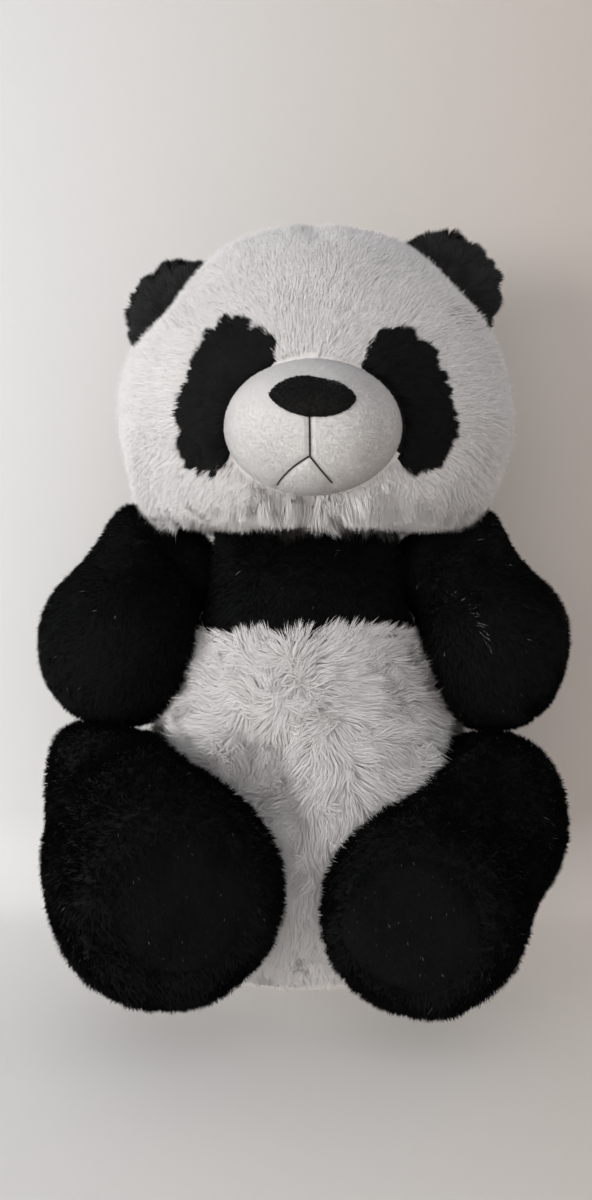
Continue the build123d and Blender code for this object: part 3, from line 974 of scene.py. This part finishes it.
for name, side in SIDES.items():
    fold, axis = joint(f"ear_{name}_fold")
    out = side * np.array((axis[2], 0, -axis[0]))
    reach, radius = EAR_RIM[name]
    middle = fold + out * (reach - EAR_FOLD_R) + HEAD_ASIDE + EAR_SHIFT[name]
    ear = add_object(f"ear_fabric_{name}", ear_form(middle, out, axis, radius), BLACK_CLOTH)
    skin = read_skin(ear.data)
    if dot(skin.normals(), skin.verts - skin.verts.mean(0)).sum() < 0:
        skin.tris = skin.tris[:, ::-1]
        ear.data.flip_normals()
    dress(ear, f"ear_{name}", "black_pile", f"ear_{name}_front", f"ear_{name}_back")
    grow(f"ear_pile_{name}", skin, f"ear_{name}", EAR_PILE, "black_pile", 34000,
         lambda p, n: dot(p - middle, out[None])[:, 0] > -6, lambda p, n: unit(p - middle + out * 6), 12, 0.6,
         lift=(0.6, 0.4), jitter=0.36, clump=(3.6, 0.72), swirl=(12, 0.35), soft=0.55, seed=41 + side)


# ---------------------------------------------------------------- arms

def limb_skin(limb, panels, pins_of, shape):
    """The skin of a limb that stands for its filling and its two panels."""
    kind = limb.split("_")[0]
    name = limb.replace(kind, kind + "_fabric")
    mesh = remeshed(f"{limb}_stuffing", name, LIMB_VOXEL)
    points = read_skin(mesh).verts
    obj = shaped(puffed(mesh, pins_of(points), LIMB_CAP), shape, name, BLACK_CLOTH)
    dress(obj, limb, "black_pile", *[f"{limb}_{panel}_panel" for panel in panels], f"{limb}_stuffing")
    return read_skin(obj.data)


def arm_shape_of(side):
    """Paws as stuffing fills them: the toy's right one is wider, its left one hangs lower."""
    shoulder, paw = on_side(SHOULDER, side), on_side(PAW, side)

    def shape(p, n):
        rim = smoothstep(27, 32, np.linalg.norm(p - shoulder, axis=1))
        near = smoothstep(75, 40, np.linalg.norm(p - paw, axis=1))
        out = p + n * (0.4 + (2.2 + (2.2 if side < 0 else -0.6) * near) * rim)[:, None]
        top = np.exp(-(np.linalg.norm((p - on_side((92, 0, 250), side)) / (22, 34, 20), axis=1)) ** 2)
        out = out + on_side((0.6, 0, 0.8), side) * (12.5 * top)[:, None]
        hang = smoothstep(190, 150, p[:, 2]) * rim
        out[:, 2] -= (8 if side > 0 else 3.5) * hang
        if side > 0:
            out[:, 0] += 2 * near * rim
        else:
            out[:, 0] -= 2.5 * near * rim
        return out

    return shape


def dusty(p):
    """A few dusty hairs anywhere, and more along a worn line on the front of the toy's left arm."""
    t = np.linspace(0, 1, 12)
    x, z = 76 + 18 * t, 215 - 10 * t - 19 * t * t
    away = np.hypot(p[:, 0, None] - x, p[:, 2, None] - z).min(1)
    worn = hump(away, 0, 1.5) * (p[:, 1] < -20)
    return 0.0012 + 0.16 * worn


for name, side in SIDES.items():
    shoulder, paw = on_side(SHOULDER, side), on_side(PAW, side)
    skin = limb_skin(f"arm_{name}", ("front", "back"),
                     lambda p: (np.linalg.norm(p - shoulder, axis=1) < 28).astype(float), arm_shape_of(side))
    along = unit(paw - shoulder)

    def arm_keep(p, n):
        inner = (side * p[:, 0] < 56) & (np.linalg.norm(p - shoulder, axis=1) < 30) & (p[:, 2] < 240)
        return ~inner

    grow(f"arm_pile_{name}", skin, f"arm_{name}", BLACK_PILE, "black_pile", 66000, arm_keep,
         lambda p, n: np.tile(along, (len(p), 1)), 7.0, 0.6, lift=(1.1, 0.7), jitter=0.3, clump=(3.2, 0.45),
         seed=51 + side, lint=dusty)


# ---------------------------------------------------------------- legs

FOOT_MOVE = {"left": ((-8.0, 0, -4.5), 0.0), "right": ((-4.2, -1.0, 6.5), 6.8)}  # shift and growth of each foot
THIGH_BULGE = {"left": 5.0, "right": 21.0}  # of its outer top corner, towards the paw
SOLE_R = 31.0


for name, side in SIDES.items():
    hip, foot = on_side(HIP, side), on_side(FOOT, side)
    shift, grown = FOOT_MOVE[name]
    new_foot = foot + shift
    bulge = THIGH_BULGE[name]
    sole = unit(on_side((-0.26, -0.95, 0.06), side))

    def leg_shape(p, n):
        rim = smoothstep(42, 48, np.linalg.norm(p - hip, axis=1))
        out = p + n * (0.6 + 1.8 * rim)[:, None]
        near = (smoothstep(80, 48, np.linalg.norm(p - foot, axis=1)) * rim)[:, None]
        out = out + near * (np.array(shift) + unit(p - foot) * grown)
        corner = np.exp(-(np.linalg.norm((out - on_side((126, -22, 129), side)) / (26, 42, 24), axis=1)) ** 2)
        out = out + on_side((0.65, 0, 0.6), side) * (bulge * corner)[:, None]
        out[:, 2] += 9.0 * hump(out[:, 2], 145, 12) * rim
        pad_edge = hump(from_sole_axis(out), SOLE_R, 1.8) * on_front(out)
        out = out - n * (1.6 * pad_edge)[:, None]
        out[:, 2] = np.maximum(out[:, 2], 5.0)
        return out

    def from_sole_axis(p):
        r = p - new_foot
        return np.linalg.norm(r - dot(r, sole[None]) * sole, axis=1)

    def on_front(p):
        return dot(p - new_foot, sole[None])[:, 0] > 20

    def on_sole(p, n):
        return on_front(p) & (from_sole_axis(p) < SOLE_R)

    skin = limb_skin(f"leg_{name}", ("upper", "lower"),
                     lambda p: (np.linalg.norm(p - hip, axis=1) < 45).astype(float), leg_shape)
    along = unit(foot - hip)
    grow(f"leg_pile_{name}", skin, f"leg_{name}", BLACK_PILE, "black_pile", 66000,
         lambda p, n: ~on_sole(p, n), lambda p, n: np.tile(along * 0.8, (len(p), 1)), 7.0, 0.65, lift=(1.1, 0.7),
         jitter=0.3, clump=(3.4, 0.45), seed=61 + side, lint=lambda p: 0.001)
    pad = grow(f"sole_pad_pile_{name}", skin, f"leg_{name}", PAD_PILE, "short_black_pile", 40000, on_sole,
               lambda p, n: np.tile((0, 0, -0.6), (len(p), 1)), 3.6, 0.5, lift=(1.0, 0.6), jitter=0.25,
               clump=(2, 0.3), seed=71 + side, lint=lambda p: 0.0015)
    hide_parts(f"sole_pad_{name}")


# ---------------------------------------------------------------- CAD nodes that stay

for node, obj in frame["nodes"].items():
    if not obj.hide_render:
        paint(obj.data, BLACK_THREAD if ("shoulder" in node or "hip" in node) else WHITE_THREAD)


# ---------------------------------------------------------------- studio

STUDIO_REACH, STUDIO_HIGH = 3000, 2500
WALL = 118  # y of the wall
BEND = 60  # radius between floor and wall
REAR_FLOOR = WALL - BEND  # y where the floor behind the wall starts


def studio_sweep():
    """Floor and wall in one curve."""
    profile = [(y, 0) for y in (-STUDIO_REACH, -1500, -600, -200, 0)]
    for i in range(17):
        a = math.pi / 2 * i / 16
        profile.append((REAR_FLOOR + BEND * math.sin(a), BEND - BEND * math.cos(a)))
    profile += [(WALL, z) for z in (200, 500, 1200, STUDIO_HIGH)]
    xs = np.linspace(-STUDIO_REACH, STUDIO_REACH, 7)
    verts = [(x, y, z) for y, z in profile for x in xs]
    faces = []
    for i in range(len(profile) - 1):
        for j in range(len(xs) - 1):
            a = i * len(xs) + j
            faces.append((a, a + 1, a + 1 + len(xs), a + len(xs)))
    return mesh_from("sweep", verts, faces)


def studio_material():
    """Matt and pale; painted shade makes it darker and warmer to the toy's left, painted light brightens the
    floor; clear from behind.
    """
    m = Shading("studio")
    geometry = m.add("NewGeometry")
    place = m.add("SeparateXYZ", {0: geometry.outputs["Position"]})
    across = m.add("MapRange", {"Value": place.outputs["X"], "From Min": -0.22, "From Max": 0.26})
    # Painted shade: the backdrop turns darker and warmer towards the toy's left.
    painted_shade_tint = m.add("Mix", {"A": (0.74, 0.735, 0.725, 1), "B": (0.60, 0.54, 0.485, 1), "Factor": across.outputs[0]},
                 data_type="RGBA")
    # Painted light: the backdrop glows, the floor much more than the wall.
    facing = m.add("SeparateXYZ", {0: geometry.outputs["Normal"]})
    painted_floor_light = m.add("MapRange", {"Value": facing.outputs["Z"], "To Min": 0.02, "To Max": 0.32})
    clear = m.add("BsdfTransparent")
    mix = m.add("MixShader", {0: geometry.outputs["Backfacing"], 1: m.shader.outputs[0], 2: clear.outputs[0]})
    m.fill(m.out, {"Surface": mix.outputs[0]})
    return m.finish({"Base Color": painted_shade_tint.outputs["Result"], "Emission Color": painted_shade_tint.outputs["Result"],
                     "Emission Strength": painted_floor_light.outputs[0], "Roughness": 0.8, "Specular IOR Level": 0.1})


STUDIO = studio_material()
add_object("sweep", studio_sweep(), STUDIO)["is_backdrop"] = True
corners = [(x, y, 0) for y in (REAR_FLOOR, STUDIO_REACH) for x in (-STUDIO_REACH, STUDIO_REACH)]
add_object("rear_floor", mesh_from("rear_floor", corners, [(0, 1, 3, 2)]), STUDIO)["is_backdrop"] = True


def area_light(name, place, target, size, power, colour):
    data = bpy.data.lights.new(name, "AREA")
    data.shape = "RECTANGLE"
    data.size, data.size_y = size
    data.energy = power
    data.color = colour
    obj = linked(name, data)
    obj.location = place
    obj.rotation_euler = (Vector(target) - Vector(place)).to_track_quat("-Z", "Y").to_euler()


area_light("key", (-1.0, -1.0, 0.06), (0, 0, 0.22), (0.7, 0.7), 15.5, (1, 0.99, 0.975))
area_light("fill", (-0.15, -1.8, 0.2), (0, 0, 0.2), (1.5, 1.1), 10.8, (1, 0.955, 0.92))
area_light("rear", (0.5, 1.3, 0.9), (0, 0, 0.2), (1.2, 1.2), 6, (1, 0.98, 0.96))
world = bpy.data.worlds.new("world")
bpy.context.scene.world = world
world.use_nodes = True
background = world.node_tree.nodes["Background"]
background.inputs["Color"].default_value = (0.9, 0.93, 1.0, 1)
background.inputs["Strength"].default_value = 0.44

camera_data = bpy.data.cameras.new("camera")
camera_data.sensor_fit = "AUTO"
camera_data.sensor_width = 36
camera_data.lens = 27.1
camera_data.clip_start = 0.01
camera = linked("camera", camera_data)
camera.location = (-0.006, -0.528, 0.210)
camera.rotation_euler = (math.radians(90), 0, 0)
bpy.context.scene.camera = camera
bpy.context.scene.view_settings.view_transform = "Standard"

import json
low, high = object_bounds()
